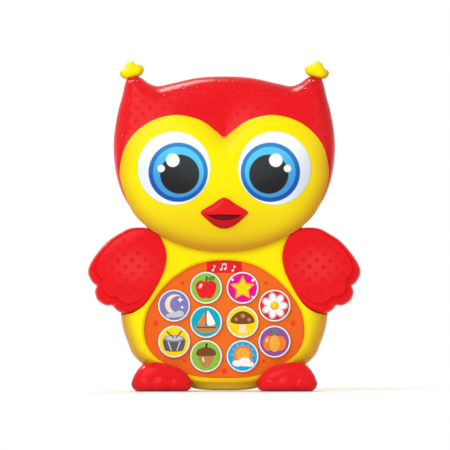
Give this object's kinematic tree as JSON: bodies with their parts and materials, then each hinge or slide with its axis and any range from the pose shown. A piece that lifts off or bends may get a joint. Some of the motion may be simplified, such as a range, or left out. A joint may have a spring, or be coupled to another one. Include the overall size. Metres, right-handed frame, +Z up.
{
  "type": "musical owl toy",
  "caption": "Free-standing owl-shaped sound toy with moulded shells, round push keys on its belly, a slide switch, a speaker grille and a battery door at the back.",
  "frame": {"origin": "floor level, below the middle of the owl's bounding box", "axes": "+Z up through the head, the owl faces -Y, +X to its picture's right"},
  "size_m": [0.157, 0.051, 0.191],
  "materials": {
    "red_plastic": "moulded ABS, satin gloss, raised ring texture",
    "yellow_plastic": "moulded ABS, smooth gloss",
    "eye_print": "white disc with a printed iris",
    "orange_plastic": "moulded ABS",
    "orange_print": "printed sheet with darker dots",
    "white_plastic": "moulded ABS",
    "picture_print": "printed disc with a plain motif",
    "silicone": "matt silicone rubber",
    "board": "green solder mask",
    "epoxy": "black potting",
    "screw_steel": "zinc plated",
    "frame_steel": "black pressed steel",
    "paper_cone": "black paper",
    "ferrite": "ferrite with a steel cup",
    "cell_can": "printed sleeve",
    "contact_nickel": "nickel plated",
    "black_plastic": "moulded",
    "wire_insulation": "soft insulation"
  },
  "bodies": {
    "owl": {"hood_front": "red_plastic", "wing_left": "red_plastic", "wing_right": "red_plastic", "foot_left": "red_plastic", "foot_right": "red_plastic", "beak": "red_plastic", "face_mask": "yellow_plastic", "body_front": "yellow_plastic", "rear_cover": "yellow_plastic", "ear_tassel_left": "yellow_plastic", "ear_tassel_right": "yellow_plastic", "eye_left": "eye_print", "eye_right": "eye_print", "belly_panel": "orange_plastic", "belly_label": "orange_print", "key_mat": "silicone", "circuit_board": "board", "sound_chip": "epoxy", "board_screws": "screw_steel", "case_screws": "screw_steel", "speaker_frame": "frame_steel", "speaker_cone": "paper_cone", "speaker_magnet": "ferrite", "battery_cells": "cell_can", "contact_plates": "contact_nickel", "contact_springs": "contact_nickel", "power_switch": "black_plastic", "speaker_wires": "wire_insulation", "battery_wires": "wire_insulation"},
    "power_knob": {"power_knob": "red_plastic"},
    "battery_door": {"battery_door": "yellow_plastic", "door_screw": "screw_steel"},
    "key_01": {"key_01": "white_plastic", "picture_01": "picture_print"},
    "key_02": {"key_02": "white_plastic", "picture_02": "picture_print"},
    "key_03": {"key_03": "white_plastic", "picture_03": "picture_print"},
    "key_04": {"key_04": "white_plastic", "picture_04": "picture_print"},
    "key_05": {"key_05": "white_plastic", "picture_05": "picture_print"},
    "key_06": {"key_06": "white_plastic", "picture_06": "picture_print"},
    "key_07": {"key_07": "white_plastic", "picture_07": "picture_print"},
    "key_08": {"key_08": "white_plastic", "picture_08": "picture_print"},
    "key_09": {"key_09": "white_plastic", "picture_09": "picture_print"},
    "key_10": {"key_10": "white_plastic", "picture_10": "picture_print"}
  },
  "joints": [
    {"name": "key_01_press", "type": "slide", "parent": "owl", "child": "key_01", "axis": [0, 1, 0], "range_m": [0, 0.0012], "stiffness_N_per_m": 400, "deforming": ["key_mat"]},
    {"name": "key_02_press", "type": "slide", "parent": "owl", "child": "key_02", "axis": [0, 1, 0], "range_m": [0, 0.0012], "stiffness_N_per_m": 400, "deforming": ["key_mat"]},
    {"name": "key_03_press", "type": "slide", "parent": "owl", "child": "key_03", "axis": [0, 1, 0], "range_m": [0, 0.0012], "stiffness_N_per_m": 400, "deforming": ["key_mat"]},
    {"name": "key_04_press", "type": "slide", "parent": "owl", "child": "key_04", "axis": [0, 1, 0], "range_m": [0, 0.0012], "stiffness_N_per_m": 400, "deforming": ["key_mat"]},
    {"name": "key_05_press", "type": "slide", "parent": "owl", "child": "key_05", "axis": [0, 1, 0], "range_m": [0, 0.0012], "stiffness_N_per_m": 400, "deforming": ["key_mat"]},
    {"name": "key_06_press", "type": "slide", "parent": "owl", "child": "key_06", "axis": [0, 1, 0], "range_m": [0, 0.0012], "stiffness_N_per_m": 400, "deforming": ["key_mat"]},
    {"name": "key_07_press", "type": "slide", "parent": "owl", "child": "key_07", "axis": [0, 1, 0], "range_m": [0, 0.0012], "stiffness_N_per_m": 400, "deforming": ["key_mat"]},
    {"name": "key_08_press", "type": "slide", "parent": "owl", "child": "key_08", "axis": [0, 1, 0], "range_m": [0, 0.0012], "stiffness_N_per_m": 400, "deforming": ["key_mat"]},
    {"name": "key_09_press", "type": "slide", "parent": "owl", "child": "key_09", "axis": [0, 1, 0], "range_m": [0, 0.0012], "stiffness_N_per_m": 400, "deforming": ["key_mat"]},
    {"name": "key_10_press", "type": "slide", "parent": "owl", "child": "key_10", "axis": [0, 1, 0], "range_m": [0, 0.0012], "stiffness_N_per_m": 400, "deforming": ["key_mat"]},
    {"name": "power_knob_slide", "type": "slide", "parent": "owl", "child": "power_knob", "axis": [1, 0, 0], "range_m": [-0.003, 0.003]},
    {"name": "battery_door_lift", "type": "slide", "parent": "owl", "child": "battery_door", "axis": [0, 1, 0], "range_m": [0, 0.03]}
  ]
}
